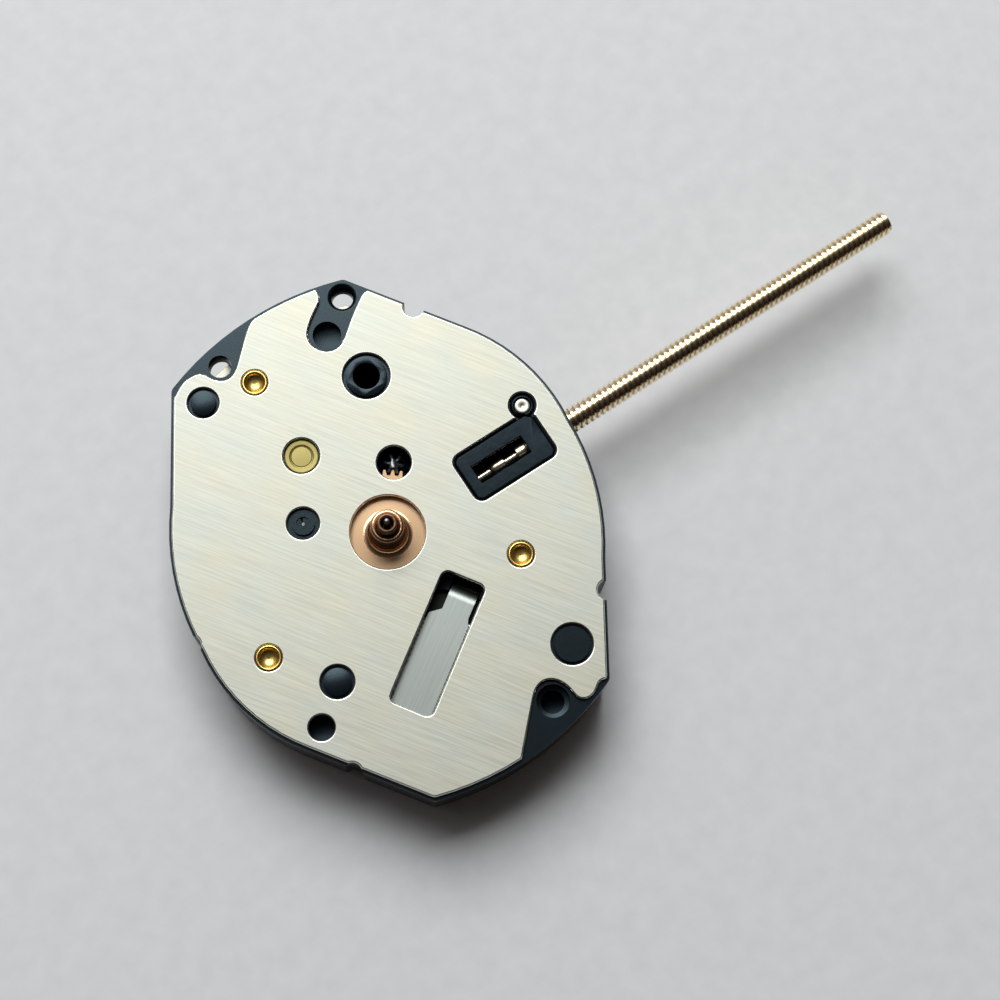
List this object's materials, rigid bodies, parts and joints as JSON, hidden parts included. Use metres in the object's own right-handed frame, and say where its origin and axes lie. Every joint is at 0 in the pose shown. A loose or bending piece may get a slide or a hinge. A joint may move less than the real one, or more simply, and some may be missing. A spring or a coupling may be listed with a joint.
{
  "type": "quartz watch movement",
  "caption": "Quartz watch movement seen from the dial side: metal dial plate on a black moulded base, hand pipes at the centre and a long threaded winding stem at 3 o'clock.",
  "frame": {"origin": "on the hand axis, in the plane of the dial plate's upper face", "axes": "+X towards 3 o'clock along the winding stem, +Y towards 12 o'clock, +Z out of the dial side along the hands' axis"},
  "size_m": [0.0294, 0.0186, 0.005],
  "materials": {
    "black_plastic": "moulded black plastic, fine grain",
    "plate_metal": "nickel-plated, fine linear brushing",
    "black_gloss": "moulded black plastic, smooth",
    "gold_brass": "turned, golden",
    "pale_brass": "turned, pale",
    "steel": "turned steel",
    "battery_steel": "nickel-plated can",
    "seal_plastic": "natural nylon",
    "spring_steel": "rolled spring strip",
    "magnet": "sintered magnet",
    "pinion_steel": "cut steel",
    "train_wheel": "stamped, satin",
    "copper_plate": "rose-gold plated, polished",
    "soft_iron": "annealed, matt",
    "copper_wire": "enamelled copper wire, one solid",
    "bridge_metal": "stamped plate",
    "board": "green board",
    "potting": "black potting, glossy",
    "crystal_metal": "drawn can",
    "spacer_plastic": "dark blue plastic",
    "cover_metal": "stamped sheet"
  },
  "bodies": {
    "movement": {"main_plate": "black_plastic", "dial_plate": "plate_metal", "window_insert": "black_gloss", "tube_top_post": "gold_brass", "tube_stem_post": "gold_brass", "tube_left_post": "gold_brass", "rotor_bush": "black_plastic", "bridge_stud": "pale_brass", "lever_axle": "steel", "battery_can": "battery_steel", "battery_seal": "seal_plastic", "battery_cap": "battery_steel", "contact_strip": "spring_steel", "lever_spring": "spring_steel", "stator": "soft_iron", "coil_core": "soft_iron", "coil_winding": "copper_wire", "coil_flanges": "seal_plastic", "train_bridge": "bridge_metal", "circuit_board": "board", "chip_potting": "potting", "crystal_can": "crystal_metal", "crystal_leads": "spring_steel", "circuit_spacer": "spacer_plastic", "back_cover": "cover_metal", "screw_top": "steel", "screw_stem": "steel", "screw_left": "steel"},
    "rotor": {"rotor_magnet": "magnet", "rotor_pinion": "pinion_steel"},
    "fifth": {"fifth_wheel": "train_wheel", "fifth_pinion": "pinion_steel"},
    "seconds": {"seconds_wheel": "train_wheel", "seconds_arbor": "pinion_steel"},
    "third": {"third_wheel": "train_wheel", "third_pinion": "pinion_steel"},
    "centre": {"centre_wheel": "train_wheel"},
    "cannon": {"cannon_pinion": "pinion_steel"},
    "minute": {"minute_wheel": "pinion_steel"},
    "hour": {"hour_wheel": "copper_plate"},
    "clutch": {"clutch_wheel": "steel"},
    "stem": {"winding_stem": "steel"},
    "lever": {"setting_lever": "steel"},
    "rocker": {"rocker_bar": "spring_steel"},
    "setting": {"setting_wheel": "train_wheel"},
    "reset": {"reset_lever": "spring_steel"}
  },
  "joints": [
    {"name": "rotor_spin", "type": "hinge", "parent": "movement", "child": "rotor", "pos_m": [-0.00231, 0.00186, -0.001], "axis": [0, 0, 1], "continuous": true},
    {"name": "fifth_spin", "type": "hinge", "parent": "movement", "child": "fifth", "pos_m": [-0.00215, -0.00003, -0.001], "axis": [0, 0, 1], "continuous": true},
    {"name": "seconds_spin", "type": "hinge", "parent": "movement", "child": "seconds", "pos_m": [0, 0, -0.001], "axis": [0, 0, 1], "continuous": true},
    {"name": "third_spin", "type": "hinge", "parent": "movement", "child": "third", "pos_m": [0.00087, 0.00186, -0.001], "axis": [0, 0, 1], "continuous": true},
    {"name": "centre_spin", "type": "hinge", "parent": "movement", "child": "centre", "pos_m": [0, 0, -0.001], "axis": [0, 0, 1], "continuous": true},
    {"name": "cannon_spin", "type": "hinge", "parent": "movement", "child": "cannon", "pos_m": [0, 0, -0.001], "axis": [0, 0, 1], "continuous": true},
    {"name": "minute_spin", "type": "hinge", "parent": "movement", "child": "minute", "pos_m": [0.00153, 0.00198, -0.001], "axis": [0, 0, 1], "continuous": true},
    {"name": "hour_spin", "type": "hinge", "parent": "movement", "child": "hour", "pos_m": [0, 0, -0.001], "axis": [0, 0, 1], "continuous": true},
    {"name": "setting_spin", "type": "hinge", "parent": "rocker", "child": "setting", "pos_m": [0.00197, -0.0001, -0.001], "axis": [0, 0, 1], "continuous": true},
    {"name": "stem_turn", "type": "hinge", "parent": "movement", "child": "clutch", "pos_m": [0.0035, 0, -0.00075], "axis": [1, 0, 0], "continuous": true},
    {"name": "stem_pull", "type": "slide", "parent": "clutch", "child": "stem", "axis": [1, 0, 0], "range_m": [0, 0.0006]},
    {"name": "lever_swing", "type": "hinge", "parent": "movement", "child": "lever", "pos_m": [0.00647, 0.00126, -0.00075], "axis": [0, 0, 1], "range_deg": [0, 34.2]},
    {"name": "rocker_swing", "type": "hinge", "parent": "movement", "child": "rocker", "pos_m": [0.00153, 0.00198, -0.00084], "axis": [0, 0, 1], "range_deg": [0, 15]},
    {"name": "reset_swing", "type": "hinge", "parent": "movement", "child": "reset", "pos_m": [0.0035, 0.0024, -0.00153], "axis": [0, 0, 1], "range_deg": [-6, 0]}
  ],
  "couplings": [
    {"joint": "fifth_spin", "follows": "rotor_spin", "ratio": -0.16667},
    {"joint": "seconds_spin", "follows": "rotor_spin", "ratio": 0.033333},
    {"joint": "third_spin", "follows": "rotor_spin", "ratio": -0.0044444},
    {"joint": "centre_spin", "follows": "rotor_spin", "ratio": 0.00055556},
    {"joint": "minute_spin", "follows": "cannon_spin", "ratio": -0.66667},
    {"joint": "hour_spin", "follows": "cannon_spin", "ratio": 0.083333},
    {"joint": "setting_spin", "follows": "cannon_spin", "ratio": 1.6},
    {"joint": "lever_swing", "follows": "stem_pull", "rad_per_m": 994.8},
    {"joint": "rocker_swing", "follows": "stem_pull", "rad_per_m": 436.3},
    {"joint": "reset_swing", "follows": "stem_pull", "rad_per_m": -174.5}
  ]
}
